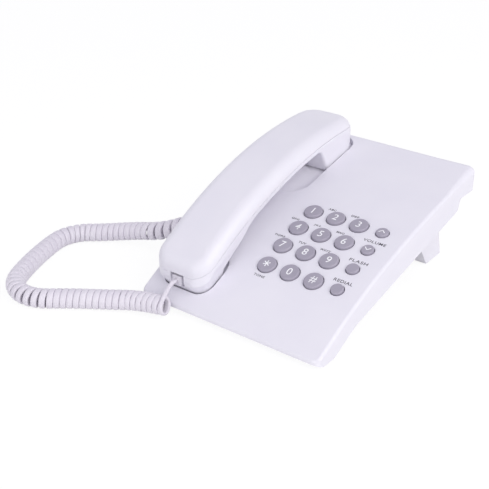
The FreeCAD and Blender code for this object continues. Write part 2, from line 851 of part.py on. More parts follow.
def board_parts():
    """Chip, relay and capacitors soldered under the board."""
    low = -board_depth - board_thick
    parts = [block(0, 0, low - chip_height, chip_size, chip_size, chip_height),
             block(chip_size * 1.6, chip_size, low - relay_height, relay_width, relay_length, relay_height)]
    for index in range(3):
        x = -chip_size * 1.5
        y = (index - 1) * capacitor_radius * 3
        spot = Vector(x, y, low - capacitor_height)
        parts.append(Part.makeCylinder(capacitor_radius, capacitor_height, spot))
    return [placed(shape, BOARD) for shape in parts]


def board_screws():
    low = -board_depth - board_thick
    length = board_depth + board_thick - 2 * shell
    return [placed(screw(length), BOARD.multiply(Placement(Vector(x, y, low), Rotation())))
            for x, y in board_screw_places()]


def case_screws():
    screws = []
    for x, y in case_screw_places():
        seat = case_screw_joint(y) - case_screw_grip
        place = Placement(Vector(x, y, seat), Rotation())
        screws.append(placed(screw(case_screw_grip + case_screw_bite), place))
    return screws


# Hook switch, sounder, sockets and slide switches
def hook_plunger():
    top = hook_pin_top()
    pin = Part.makeCylinder(hook_pin / 2, HOOK_LENGTH, Vector(HANDSET_X, HOOK_Y, top - HOOK_LENGTH))
    pin = pin.makeFillet(hook_pin * 0.15, [e for e in pin.Edges if e.BoundBox.ZMin > top - 0.01])
    flange = Part.makeCylinder(hook_pin / 2 + hook_flange, hook_flange_thick,
                               Vector(HANDSET_X, HOOK_Y, top - HOOK_LENGTH))
    return fused([pin, flange])


def hook_switch():
    size = hook_switch_size - 2
    body = block(HANDSET_X, HOOK_Y, hook_floor_z(), size, size, hook_switch_height)
    return body.makeFillet(0.5, upright_edges(body))


def ringer_sounder():
    return placed(disc(sounder_diameter / 2, sounder_thick, floor), under_frame(SOUNDER_X, SOUNDER_Y))


def socket(width, height, depth, hole_width, hole_height):
    """Modular socket: mouth at y = 0, body towards +Y, underside at z = 0."""
    body = block(0, depth / 2, 0, width, depth, height)
    middle = height / 2
    deep = depth - jack_wall
    low = middle - hole_height / 2
    hole = block(0, deep / 2, low, hole_width, deep, hole_height)
    notch = block(0, deep / 2, low - latch_groove, hole_width / 3, deep, 2 * latch_groove)
    return body.cut([hole, notch])


def plug():
    """Modular plug in its socket, whose mouth is at y = 0; the cord leaves on the -Y side."""
    middle = plug_length / 2 - plug_proud
    body = block(0, middle, -plug_height / 2, plug_width, plug_length, plug_height)
    body = body.makeFillet(plug_round, [e for e in body.Edges if e.BoundBox.YLength > 1])
    low = -plug_height / 2 - latch_groove + plug_gap
    latch = block(0, middle, low, plug_width / 4, plug_length * 0.7, latch_groove)
    return fused([body, latch])


def cord_socket():
    """Socket of the handset's cord: middle of its mouth at x = y = z = 0."""
    hole_width, hole_height = plug_width + 2 * plug_gap, plug_height + 2 * plug_gap
    body = socket(jack_width, jack_height, jack_depth, hole_width, hole_height)
    body.translate(Vector(0, 0, -jack_height / 2))
    return body


def base_jack_frame():
    """Mouth of the base's cord socket: its +Y points into the base, along +X."""
    turn = Rotation(Vector(0, 0, 1), -90)
    inner = reveal + floor - half_width(BASE_JACK_Y)
    return Placement(Vector(inner, BASE_JACK_Y, panel_z(BASE_JACK_Y, skirt)), turn)


def handset_jack_frame():
    mouth = HANDSET_FRONT + handset_shell + jack_recess
    return Placement(Vector(HANDSET_X, mouth, handset_jack_z()), Rotation())


def handset_jack_z():
    """Middle of the handset's socket, whose rear end lies just above the mouthpiece's floor."""
    rear = HANDSET_FRONT + handset_shell + jack_recess + jack_depth
    return panel_z(rear, pocket_depth - rest_gap - handset_shell) + fit_gap + jack_height / 2


def line_jack():
    body = socket(line_jack_width, line_jack_height, line_jack_depth, line_socket_width, line_socket_height)
    turn = Rotation(Vector(0, 0, 1), 180)
    return placed(body, Placement(Vector(LINE_JACK_X, REAR - 0.5, EAVE_Z + shell), turn))


def switch_body(x):
    y = REAR - shell - switch_body_depth / 2
    height = switch_slot_height + 2
    body = block(x, y, switch_z() - height / 2, switch_body_length, switch_body_depth, height)
    groove = block(x, REAR - shell, switch_z() - switch_slot_height / 2, switch_slot, 2 * switch_groove,
                   switch_slot_height)
    return body.cut(groove)


def switch_knob(x):
    length = switch_slot - switch_travel - 2 * fit_gap
    depth = shell + switch_knob_root + switch_knob_proud
    height = switch_slot_height - 2 * fit_gap
    left = x - switch_slot / 2 + fit_gap
    corner = Vector(left, REAR - shell - switch_knob_root, switch_z() - height / 2)
    knob = Part.makeBox(length, depth, height, corner)
    ribs = [block(left + length * share, REAR + switch_knob_proud, switch_z() - height, 0.5, 0.8, 2 * height)
            for share in (0.25, 0.5, 0.75)]
    return knob.cut(ribs)


# Handset
def arch_point(y, depth):
    return point(y, ARCH_CENTRE[1] + math.sqrt((HANDSET_ARCH - depth) ** 2 - (y - ARCH_CENTRE[0]) ** 2))


def crown_point(y, depth):
    return point(y, CROWN_CENTRE[1] + math.sqrt((CROWN_RADIUS - depth) ** 2 - (y - CROWN_CENTRE[0]) ** 2))


def mouth_bend_centre(drop, steep, bend_radius, radius):
    """Centre of the arc between the grip's arch and the straight slope above the mouthpiece."""
    start_y = drop.y + bend_radius * math.sin(steep) - ARCH_CENTRE[0]
    start_z = drop.z - bend_radius * math.cos(steep) - ARCH_CENTRE[1]
    along = start_y * math.cos(steep) + start_z * math.sin(steep)
    apart = start_y ** 2 + start_z ** 2 - (radius - bend_radius) ** 2
    reach = math.sqrt(along ** 2 - apart) - along
    run_y = start_y + reach * math.cos(steep)
    run_z = start_z + reach * math.sin(steep)
    centre = (ARCH_CENTRE[0] + run_y, ARCH_CENTRE[1] + run_z)
    return centre, math.asin(-run_y / (radius - bend_radius))


def underside(inset):
    """Underside of the handset from the ear's rear to the mouth's front, taken inwards."""
    depth = pocket_depth - rest_gap - inset
    radius = HANDSET_ARCH - grip_depth + inset
    rear = HANDSET_REAR - inset
    toe, heel = MOUTH_TOE + inset, MOUTH_REAR - inset
    lean = math.radians(ear_lean)
    rise, behind = Vector(0, -math.sin(lean), math.cos(lean)), Vector(0, math.cos(lean), math.sin(lean))
    foot = point(EAR_FRONT, panel_z(EAR_FRONT, pocket_depth - rest_gap)) + behind * inset
    for _ in range(6):
        foot += rise * (panel_z(foot.y, depth) - foot.z)
    small = ear_fillet + inset
    centre = point(*ARCH_CENTRE)
    start = foot - behind * small - centre
    along = start.dot(rise)
    reach = math.sqrt(along ** 2 - start.dot(start) + (radius - small) ** 2) - along
    outward = (start + rise * reach).normalize()
    on_wall = foot + rise * reach
    on_arch = centre + outward * radius
    halfway = centre + outward * (radius - small) + (outward + behind).normalize() * small

    steep = math.radians(mouth_angle)
    drop = point(heel, panel_z(MOUTH_REAR, pocket_depth - rest_gap) + mouth_rise + inset)
    bend_centre, angle = mouth_bend_centre(drop, steep, mouth_bend + inset, radius)
    bend = [point(*at_angle(bend_centre, mouth_bend + inset, a)) for a in (angle, (angle + steep) / 2, steep)]
    half_angle = (math.asin((ARCH_CENTRE[0] - on_arch.y) / radius) + angle) / 2
    back = rear + spill
    edges = chain(back, foot.y, depth)
    edges.append(line(point(foot.y, panel_z(foot.y, depth)), on_wall))
    edges.append(arc(on_wall, halfway, on_arch))
    edges.append(arc(on_arch, point(*at_angle(ARCH_CENTRE, radius, half_angle)), bend[0]))
    edges.append(arc(*bend))
    edges += lines([bend[2], drop, point(heel, panel_z(heel, depth))])
    edges += chain(heel, toe, depth)
    front = HANDSET_FRONT + inset - spill
    rise = mouth_toe_height / (MOUTH_TOE - HANDSET_FRONT)
    shin = panel_z(toe, depth) + rise * (toe - front)
    edges += lines([point(toe, panel_z(toe, depth)), point(front, shin), crown_point(front, inset)])
    edges.append(arc(*[crown_point(y, inset) for y in (front, (front + back) / 2, back)]))
    edges.append(line(crown_point(back, inset), point(back, panel_z(back, depth))))
    return edges


def handset_plan(inset):
    half = handset_width / 2 - inset
    left, right = HANDSET_X - half, HANDSET_X + half
    front, rear = HANDSET_FRONT + inset, HANDSET_REAR - inset
    corners = [(left, front), (right, front), (right, rear), (left, rear)]
    small, large = handset_front_corner - inset, handset_rear_corner - inset
    return rounded(corners, [small, small, large, large])


def mouth_section(level, inset):
    """Rounded outline of the drafted mouthpiece, level above the panel and square to it."""
    slope = math.tan(math.radians(mouth_draft))
    grow = (level - draft_top) * slope - inset / math.cos(math.radians(mouth_draft))
    half = handset_width / 2 + grow
    front = mouth_front_reach - grow
    corner = handset_front_corner + grow
    turn = corner * math.sqrt(0.5)
    spots = [(-half, DRAFT_LENGTH), (-half, front + corner), (-half + corner - turn, front + corner - turn),
             (-half + corner, front), (half - corner, front), (half - corner + turn, front + corner - turn),
             (half, front + corner), (half, DRAFT_LENGTH)]
    spots = [Vector(x, y, level) for x, y in spots]
    edges = [line(spots[0], spots[1]), arc(*spots[1:4]), line(spots[3], spots[4]), arc(*spots[4:7]),
             line(spots[6], spots[7]), line(spots[7], spots[0])]
    return Part.Wire(edges)


def mouth_draft_cutter(inset):
    """What the draft takes off the sides and front of the mouthpiece below the seam."""
    low, high = -2 * pocket_depth, draft_top + spill
    keep = Part.makeLoft([mouth_section(level, inset) for level in (low, high)], True, True)
    wide = 2 * handset_width
    slab = Part.makeBox(2 * wide, wide + DRAFT_LENGTH, draft_top - low, Vector(-wide, -wide, low))
    return placed(slab.cut(keep), DRAFT_FRAME)


def handset_body(inset):
    body = across(underside(inset), handset_width, HANDSET_X).common(handset_plan(inset))
    body = body.cut(mouth_draft_cutter(inset))
    crown = []
    for edge in body.Edges:
        reach = [math.hypot(v.Point.y - CROWN_CENTRE[0], v.Point.z - CROWN_CENTRE[1]) for v in edge.Vertexes]
        if all(abs(r - CROWN_RADIUS + inset) < 0.01 for r in reach):
            crown.append(edge)
    body = body.makeFillet(shoulder_round - inset, crown)
    if inset:
        return body
    lean = math.radians(ear_lean)
    rise = Vector(0, -math.sin(lean), math.cos(lean))
    rims = []
    for number, edge in sharp_edges(body):
        radii = [handset_edge_round, handset_edge_round]
        slope = edge.tangentAt(edge.FirstParameter).dot(rise)
        if abs(slope) > 0.999:
            radii[0 if slope > 0 else 1] = ear_corner
        rims.append((number, *radii))
    body = varied_fillet(body, rims)
    body.fix(heal_precision, heal_precision, 10 * heal_precision)
    return body


def sharp_edges(body):
    """Numbered edges where two faces meet at a clear angle."""
    found = []
    for number, edge in enumerate(body.Edges, 1):
        middle = edge.valueAt((edge.FirstParameter + edge.LastParameter) / 2)
        normals = []
        for face in body.ancestorsOfType(edge, Part.Face):
            normals.append(face.normalAt(*face.Surface.parameter(middle)))
        if len(normals) == 2 and normals[0].getAngle(normals[1]) > math.radians(sharp_angle):
            found.append((number, edge))
    return found


def arch_drum(depth):
    """Solid cylinder across X, below the handset's arched surfaces."""
    start = Vector(HANDSET_X - handset_width, ARCH_CENTRE[0], ARCH_CENTRE[1])
    return Part.makeCylinder(HANDSET_ARCH - depth, 2 * handset_width, start, Vector(1, 0, 0))


def handset_shells():
    body = handset_body(0.0)
    hollow = handset_body(handset_shell)
    upper = body.cut(arch_drum(cover_depth - seam))
    lower = body.common(arch_drum(cover_depth + seam))
    ribs = receiver_seat() + mic_seat() + [weight_seat()]
    outer = upper.cut(hollow)
    posts = []
    for y in HANDSET_SCREWS:
        top = arch_point(y, cover_depth + seam).z
        posts.append(Part.makeCylinder(boss_diameter / 2, HIGH, Vector(HANDSET_X, y, top)).common(upper))
    outer = fused([outer] + posts)
    outer = outer.cut([Part.makeCylinder(PILOT, cover_depth - 2 * handset_shell,
                                         Vector(HANDSET_X, y, arch_point(y, cover_depth + seam).z))
                       for y in HANDSET_SCREWS])
    inner = lower.cut(hollow)
    stems = []
    for y in HANDSET_SCREWS:
        top = arch_point(y, cover_depth + seam).z
        stems.append(Part.makeCylinder(boss_diameter / 2, top - LOW, Vector(HANDSET_X, y, LOW)).common(lower))
    inner = fused([inner] + stems + [rib.common(lower) for rib in ribs])
    cutters = []
    for y in HANDSET_SCREWS:
        seat = handset_screw_seat(y)
        cutters.append(Part.makeCylinder(PILOT + 0.3, HIGH, Vector(HANDSET_X, y, LOW)))
        cutters.append(Part.makeCylinder(screw_head / 2 + fit_gap, seat - LOW, Vector(HANDSET_X, y, LOW)))
    cutters += receiver_holes() + mic_holes()
    tall = jack_height + 2 * fit_gap
    window = block(0, jack_depth / 2 - 2 * handset_shell, -tall / 2, jack_width + 2 * fit_gap,
                   jack_depth + 4 * handset_shell, tall)
    window = placed(window, handset_jack_frame())
    return outer.cut(window), inner.cut(cutters + [window])


def handset_screw_seat(y):
    return arch_point(y, cover_depth + seam).z - handset_screw_grip


def handset_screws():
    length = handset_screw_grip + cover_depth - 2 * handset_shell - 4 * seam
    return [placed(screw(length), Placement(Vector(HANDSET_X, y, handset_screw_seat(y)), Rotation()))
            for y in HANDSET_SCREWS]


def receiver_frame():
    """Seat of the receiver on the ear piece's floor, with +Z upwards and square to it."""
    y = (EAR_FRONT + HANDSET_REAR) / 2
    depth = pocket_depth - rest_gap
    turn = Rotation(Vector(1, 0, 0), panel_angle)
    base = Vector(HANDSET_X, y, panel_z(y, depth))
    return Placement(base, turn)


def receiver_seat():
    wide = receiver_diameter / 2 + gasket_wall
    ring = disc(wide + seat_wall, handset_shell + seat_height).cut(disc(wide, seat_height, handset_shell))
    return [placed(ring, receiver_frame())]


def receiver_holes():
    holes = [disc(sound_hole / 2, 3 * handset_shell, -handset_shell)]
    for index in range(6):
        angle = math.radians(60 * index)
        spot = Vector(sound_hole_ring * math.cos(angle), sound_hole_ring * math.sin(angle), -handset_shell)
        holes.append(Part.makeCylinder(sound_hole / 2, 3 * handset_shell, spot))
    return [placed(hole, receiver_frame()) for hole in holes]


def receiver_gasket():
    """Soft cup round the receiver, open towards the sound holes."""
    cup = disc(receiver_diameter / 2 + gasket_wall - seat_gap, receiver_height * 0.6, handset_shell)
    cup = cup.cut(disc(receiver_diameter / 2, receiver_height, handset_shell + gasket_thick))
    return placed(cup.cut(disc(sound_hole_ring + sound_hole, 4 * gasket_thick)), receiver_frame())


def receiver_capsule():
    low = handset_shell + gasket_thick
    body = disc(receiver_diameter / 2 - seat_gap / 2, receiver_height * 0.5, low)
    magnet = disc(receiver_diameter / 4, receiver_height * 0.5, low + receiver_height * 0.5)
    return placed(fused([body, magnet]), receiver_frame())


def mic_frame():
    """Flat seat of the microphone, just above the curved floor of the mouthpiece."""
    lift = handset_shell + mic_seat_lift - pocket_depth + rest_gap
    return panel_frame(MIC_X, MIC_Y).multiply(Placement(Vector(0, 0, lift), Rotation()))


def mic_seat():
    wide = mic_diameter / 2 + mic_boot_wall
    ring = disc(wide + seat_wall, handset_shell + seat_height, -handset_shell).cut(disc(wide, seat_height))
    return [placed(ring, mic_frame())]


def mic_holes():
    return [placed(disc(sound_hole / 2, 4 * handset_shell, -3 * handset_shell), mic_frame())]


def mic_boot():
    cup = disc(mic_diameter / 2 + mic_boot_wall - seat_gap, mic_height * 0.7)
    cup = cup.cut(disc(mic_diameter / 2, mic_height, mic_boot_floor))
    return placed(cup.cut(disc(sound_hole, mic_boot_floor)), mic_frame())


def mic_capsule():
    return placed(disc(mic_diameter / 2 - seat_gap / 2, mic_height, mic_boot_floor), mic_frame())


def weight_frame():
    radius = HANDSET_ARCH - grip_depth + handset_shell + fit_gap
    tilt = math.asin((ARCH_CENTRE[0] - WEIGHT_Y) / radius)
    spot = arch_point(WEIGHT_Y, HANDSET_ARCH - radius)
    return Placement(spot + Vector(HANDSET_X, 0, 0), Rotation(Vector(1, 0, 0), math.degrees(tilt)))


def weight_seat():
    """Two ribs that carry the weight inside the grip."""
    sag = WEIGHT_LENGTH ** 2 / (8 * (HANDSET_ARCH - grip_depth))
    ribs = block(0, 0, -sag - handset_shell, weight_width, WEIGHT_LENGTH / 2, sag + handset_shell)
    return placed(ribs, weight_frame())


def handset_weight():
    bar = block(0, 0, 0, weight_width, WEIGHT_LENGTH, weight_thick)
    bar = bar.makeFillet(1.0, [e for e in bar.Edges if e.BoundBox.YLength > 1])
    return placed(bar, weight_frame())


# Curly cord
def rounded_route(points):
    """Straight runs joined by tangent arcs, as large as the runs allow; prints their radii."""
    spots = [Vector(HANDSET_X + x, FRONT + y, z) for x, y, z in points]
    pieces = []
    radii = []
    start = spots[0]
    for before, corner, after in zip(spots, spots[1:], spots[2:]):
        into, out = corner - before, after - corner
        turn = into.getAngle(out)
        reach = 0.45 * min(into.Length, out.Length)
        radii.append(reach / math.tan(turn / 2))
        a = corner - into.normalize() * reach
        b = corner + out.normalize() * reach
        middle = (a + b) * 0.5
        bulge = radii[-1] * (1 / math.cos(turn / 2) - 1)
        pieces.append(line(start, a))
        pieces.append(arc(a, corner + (middle - corner).normalize() * bulge, b))
        start = b
    pieces.append(line(start, spots[-1]))
    print("coil axis length and radii, mm:", round(sum(p.Length for p in pieces)), [round(r) for r in radii])
    return pieces


def coil_points(route, radius, turns):
    """Points and directions on the curls, at every half turn and finely for the gap test."""
    lengths = [edge.Length for edge in route]
    total = sum(lengths)

    def axis(distance):
        for edge, length in zip(route, lengths):
            if distance <= length or edge is route[-1]:
                at = edge.getParameterByLength(min(distance, length))
                return edge.valueAt(at), edge.tangentAt(at)
            distance -= length

    def curl(share):
        spot, ahead = axis(share * total)
        side = ahead.cross(Vector(0, 0, 1)).normalize()
        up = side.cross(ahead)
        angle = -2 * math.pi * turns * share + math.pi / 2 + 2 * math.pi * turns
        return spot + side * (radius * math.cos(angle)) + up * (radius * math.sin(angle))

    def heading(share):
        step = 0.02 / turns
        low, high = max(share - step, 0.0), min(share + step, 1.0)
        return (curl(high) - curl(low)).normalize()

    return curl, heading


def bend(start, ahead, end):
    """Arc from start, leaving along ahead, to end."""
    chord = end - start
    along = chord * (1 / chord.Length)
    away = ahead - along * ahead.dot(along)
    if away.Length < 1e-6:
        return line(start, end)
    half_angle = ahead.getAngle(along) / 2
    return arc(start, (start + end) * 0.5 + away.normalize() * (chord.Length / 2 * math.tan(half_angle)), end)


def biarc(a, a_dir, b, b_dir):
    """Two tangent arcs from a to b."""
    gap = b - a
    both = a_dir + b_dir
    spread = 2 * (1 - a_dir.dot(b_dir))
    if spread < 1e-9:
        reach = gap.Length ** 2 / (4 * gap.dot(b_dir))
    else:
        reach = (-gap.dot(both) + math.sqrt(gap.dot(both) ** 2 + spread * gap.Length ** 2)) / spread
    joint = (a + b + (a_dir - b_dir) * reach) * 0.5
    return [bend(a, a_dir, joint), bend(b, b_dir * -1, joint)]


def self_gap(points, diameter, neighbours):
    """Least gap between points of the tube that are not on the same stretch."""
    least = 1e9
    for i, a in enumerate(points):
        for b in points[i + neighbours:i + 6 * neighbours]:
            least = min(least, (a - b).Length)
    return least - diameter


def coiled_cord():
    route = rounded_route(coil_route)
    curl, heading = coil_points(route, (coil_diameter - cord_diameter) / 2, coil_turns)
    base_end = base_jack_frame().multVec(Vector(0, -plug_proud, 0))
    handset_end = handset_jack_frame().multVec(Vector(0, -plug_proud, 0))
    into_base = Vector(1, 0, 0)
    into_handset = Vector(0, 1, 0)
    first = base_end - into_base * end_straight
    last = handset_end - into_handset * end_straight
    edges = [line(base_end, first)]
    edges += biarc(first, into_base * -1, curl(0.0), heading(0.0))
    stations = 2 * coil_turns
    for step in range(stations):
        a, b = step / stations, (step + 1) / stations
        edges += biarc(curl(a), heading(a), curl(b), heading(b))
    edges += biarc(curl(1.0), heading(1.0), last, into_handset)
    edges.append(line(last, handset_end))
    per_turn = 16
    fine = [curl(i / (per_turn * coil_turns)) for i in range(per_turn * coil_turns + 1)]
    print("coil least self-gap, mm:", round(self_gap(fine, cord_diameter, per_turn * 3 // 4), 2))
    wire = Part.Wire(edges)
    print("cord length, mm:", round(wire.Length))
    section = Part.Wire(Part.Circle(base_end, into_base, cord_diameter / 2).toShape())
    tube = wire.makePipeShell([section], True, False)
    share = tube.Volume / (math.pi * cord_diameter ** 2 / 4 * wire.Length)
    print("tube volume over section times length:", round(share, 4))
    return tube


def build():
    add("upper_case", upper_case())
    add("lower_case", lower_case())
    add("desk_stand", desk_stand())
    add("rubber_feet", *rubber_feet())
    add("case_screws", *case_screws())
    add("main_board", main_board())
    add("board_parts", *board_parts())
    add("board_screws", *board_screws())
    add("keypad_mat", keypad_mat())
    for name, x, y, diameter in key_list():
        add(name, placed(key(diameter), panel_frame(x, y)))
    add("hook_switch", hook_switch())
    add("hook_plunger", hook_plunger())
    add("ringer_sounder", ringer_sounder())
    add("line_jack", line_jack())
    add("base_jack", placed(cord_socket(), base_jack_frame()))
    for name, x in zip(("ringer_switch", "dial_mode_switch"), SWITCH_X):
        add(name + "_body", switch_body(x))
        add(name + "_knob", switch_knob(x))
    outer, inner = handset_shells()
    add("handset_outer_shell", outer)
    add("handset_inner_shell", inner)
    add("handset_screws", *handset_screws())
    add("receiver_gasket", receiver_gasket())
    add("receiver_capsule", receiver_capsule())
    add("mic_boot", mic_boot())
    add("mic_capsule", mic_capsule())
    add("handset_weight", handset_weight())
    add("handset_jack", placed(cord_socket(), handset_jack_frame()))
    add("handset_plug", placed(plug(), handset_jack_frame()))
    add("base_plug", placed(plug(), base_jack_frame()))
    add("coiled_cord", coiled_cord())


build()
os.makedirs("parts", exist_ok=True)
for name, shape in NODES.items():
    if not shape.isValid():
        print("not valid:", name)
    shape.exportStep("parts/" + name + ".step")
print(len(NODES), "nodes")
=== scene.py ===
import json
import math

import bmesh
import bpy
import numpy as np
from mathutils import Matrix, Vector

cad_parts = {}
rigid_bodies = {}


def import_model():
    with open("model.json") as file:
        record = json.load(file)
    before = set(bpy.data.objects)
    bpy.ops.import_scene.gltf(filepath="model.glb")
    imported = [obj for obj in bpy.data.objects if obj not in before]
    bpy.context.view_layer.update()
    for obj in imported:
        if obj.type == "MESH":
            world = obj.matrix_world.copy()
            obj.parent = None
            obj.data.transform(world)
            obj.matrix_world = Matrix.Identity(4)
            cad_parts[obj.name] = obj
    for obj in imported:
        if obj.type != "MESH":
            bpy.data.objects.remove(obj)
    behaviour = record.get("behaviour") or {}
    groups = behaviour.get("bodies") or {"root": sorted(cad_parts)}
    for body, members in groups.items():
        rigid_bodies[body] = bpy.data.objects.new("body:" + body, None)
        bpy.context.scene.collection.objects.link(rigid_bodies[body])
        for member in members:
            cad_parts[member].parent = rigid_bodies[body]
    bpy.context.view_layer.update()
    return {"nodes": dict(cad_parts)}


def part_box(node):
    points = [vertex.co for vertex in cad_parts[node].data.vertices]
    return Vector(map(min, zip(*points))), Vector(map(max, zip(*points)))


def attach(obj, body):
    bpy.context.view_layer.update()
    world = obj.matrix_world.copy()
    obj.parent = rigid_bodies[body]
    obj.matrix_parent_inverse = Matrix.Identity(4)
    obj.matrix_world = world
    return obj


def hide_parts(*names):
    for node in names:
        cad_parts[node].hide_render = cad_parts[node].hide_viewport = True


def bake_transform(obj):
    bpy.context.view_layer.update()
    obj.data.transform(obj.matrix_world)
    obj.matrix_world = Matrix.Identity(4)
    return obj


for leftover in list(bpy.data.objects):
    bpy.data.objects.remove(leftover)

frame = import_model()
nodes = frame["nodes"]
MM = 0.001

# Marks that the part's source measures from: the middle of the handset and the front of the base
handset_x = sum(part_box("handset_outer_shell"), Vector()).x / 2
base_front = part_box("upper_case")[0].y

# Curly cord, in millimetres from those marks: the coil's axis as in the part's source, then its own sizes
coil_route = (
    (-45.0, 72.0, 26.4), (-57.0, 67.0, 20.5), (-72.5, 63.5, 15.5), (-86.0, 62.5, 12.3),
    (-101.5, 56.5, 9.4), (-115.0, 48.5, 7.6), (-128.5, 39.0, 7.3), (-134.0, 24.5, 7.3),
    (-130.5, 7.5, 7.3), (-119.0, -24.0, 7.3), (-105.5, -49.0, 7.3), (-81.0, -54.0, 7.3),
    (-58.0, -35.5, 7.3), (-36.5, -22.0, 7.6), (-18.5, -11.0, 8.6), (3.0, -8.5, 11.0),
)
coil_radius = 7.0
coil_turns = 58
band_thick = 2.4
least_gap = 0.12
tail_size = 2.6
plug_drop = 3.3
plug_straight = 3.4
lead_pulls, tail_pulls = (16, 12), (12, 10)
end_points = 26
end_angle = math.pi / 4
section_sides = 16
width_power, thick_power = 0.55, 0.7
# Distance along the axis, then the pitch of the turns and the open gap between them there
coil_spacing = (
    (0, 6.8, 1.6), (21, 7.2, 1.7), (36, 6.4, 1.2), (50, 5.2, 0.5), (57, 4.7, 0.15), (95, 4.7, 0.15),
    (105, 5.6, 0.4), (117, 6.2, 0.2), (160, 6.0, 0.15), (175, 5.0, 0.15), (190, 5.0, 0.5),
    (205, 5.2, 1.0), (215, 5.0, 0.9), (222, 4.5, 0.15), (306, 4.45, 0.15),
)


# Places on the CAD surfaces
def on_top(node, x, y, lift=0.0):
    """Matrix on the node's upper surface at x, y, +Z square to it, raised by lift; all in metres."""
    back = node.matrix_world.inverted()
    above = back @ Vector((x, y, 1.0))
    _, place, normal, _ = node.ray_cast(above, (back @ Vector((x, y, 0.0)) - above).normalized())
    normal = (node.matrix_world.to_3x3() @ normal).normalized()
    tilt = math.atan2(-normal.y, normal.z)
    return Matrix.Translation(node.matrix_world @ place + normal * lift) @ Matrix.Rotation(tilt, 4, "X")


def key_top(name):
    """Matrix at the middle of a key's flat top."""
    node = nodes[name]
    middle = sum(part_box(name), Vector()) / 2
    level = on_top(node, middle.x, middle.y)
    flat = level.inverted() @ node.matrix_world
    spots = [flat @ v.co for v in node.data.vertices]
    spots = [v for v in spots if v.z > -0.00002]
    x = (min(v.x for v in spots) + max(v.x for v in spots)) / 2
    y = (min(v.y for v in spots) + max(v.y for v in spots)) / 2
    return level @ Matrix.Translation((x, y, 0))


def on_panel(name, x, y, lift=0.0):
    """Matrix on the panel, x and y millimetres from a key's middle along the panel."""
    place = key_top(name)
    spot = place @ Vector((x * MM, y * MM, 0))
    return on_top(nodes["upper_case"], spot.x, spot.y, lift)


# Materials
def linear(colour):
    """sRGB 0 to 255 to a linear colour."""
    out = []
    for c in colour:
        c /= 255
        out.append(c / 12.92 if c <= 0.04045 else ((c + 0.055) / 1.055) ** 2.4)
    return (*out, 1.0)


def plastic(name, colour, shade, rough, grain, bump, scale=900.0):
    """Moulded plastic: faint tone clouds, uneven gloss and a fine moulded grain."""
    material = bpy.data.materials.new(name)
    material.use_nodes = True
    tree = material.node_tree
    link = tree.links.new
    shader = tree.nodes["Principled BSDF"]
    place = tree.nodes.new("ShaderNodeTexCoord")
    cloud = tree.nodes.new("ShaderNodeTexNoise")
    cloud.inputs["Scale"].default_value = 38.0
    cloud.inputs["Detail"].default_value = 4.0
    link(place.outputs["Object"], cloud.inputs["Vector"])
    tone = tree.nodes.new("ShaderNodeValToRGB")
    tone.color_ramp.elements[0].position = 0.3
    tone.color_ramp.elements[0].color = linear(shade)
    tone.color_ramp.elements[1].position = 0.7
    tone.color_ramp.elements[1].color = linear(colour)
    link(cloud.outputs["Fac"], tone.inputs["Fac"])
    link(tone.outputs["Color"], shader.inputs["Base Color"])
    fine = tree.nodes.new("ShaderNodeTexNoise")
    fine.inputs["Scale"].default_value = scale
    fine.inputs["Detail"].default_value = 3.0
    link(place.outputs["Object"], fine.inputs["Vector"])
    gloss = tree.nodes.new("ShaderNodeMapRange")
    gloss.inputs["To Min"].default_value = rough - grain
    gloss.inputs["To Max"].default_value = rough + grain
    link(fine.outputs["Fac"], gloss.inputs["Value"])
    link(gloss.outputs["Result"], shader.inputs["Roughness"])
    relief = tree.nodes.new("ShaderNodeBump")
    relief.inputs["Strength"].default_value = bump
    relief.inputs["Distance"].default_value = 0.0002
    link(fine.outputs["Fac"], relief.inputs["Height"])
    link(relief.outputs["Normal"], shader.inputs["Normal"])
    return material


white = plastic("white_case_plastic", (234, 232, 240), (231, 229, 238), 0.42, 0.06, 0.12)
handset_white = plastic("white_handset_plastic", (234, 232, 240), (231, 229, 238), 0.36, 0.05, 0.08)
grey = plastic("grey_key_plastic", (168, 163, 177), (160, 155, 170), 0.42, 0.08, 0.15)
jacket = plastic("white_cord_jacket", (230, 226, 234), (224, 219, 229), 0.45, 0.08, 0.1, 500.0)
black = plastic("black_plastic", (34, 34, 37), (28, 28, 31), 0.45, 0.08, 0.15)
rubber = plastic("foot_rubber", (66, 66, 68), (56, 56, 58), 0.75, 0.1, 0.4, 600.0)
silicone = plastic("mat_silicone", (190, 190, 194), (180, 180, 185), 0.6, 0.1, 0.2)
laminate = plastic("board_laminate", (26, 92, 48), (20, 78, 40), 0.35, 0.08, 0.1, 700.0)
ink_white = plastic("white_print", (250, 250, 252), (246, 246, 249), 0.5, 0.05, 0.05)
ink_grey = plastic("grey_print", (84, 80, 92), (76, 72, 84), 0.55, 0.05, 0.05)


def metal(name, colour, rough, streak):
    material = plastic(name, colour, [c * 0.92 for c in colour], rough, streak, 0.1, 400.0)
    material.node_tree.nodes["Principled BSDF"].inputs["Metallic"].default_value = 1.0
    return material


steel = metal("screw_steel", (196, 196, 200), 0.32, 0.08)
brass = metal("sounder_brass", (214, 182, 112), 0.3, 0.08)
can = metal("capsule_metal", (205, 205, 210), 0.35, 0.06)
iron = metal("weight_iron", (110, 110, 114), 0.5, 0.1)

pale = plastic("plug_plastic", (226, 223, 231), (220, 217, 226), 0.22, 0.04, 0.03)

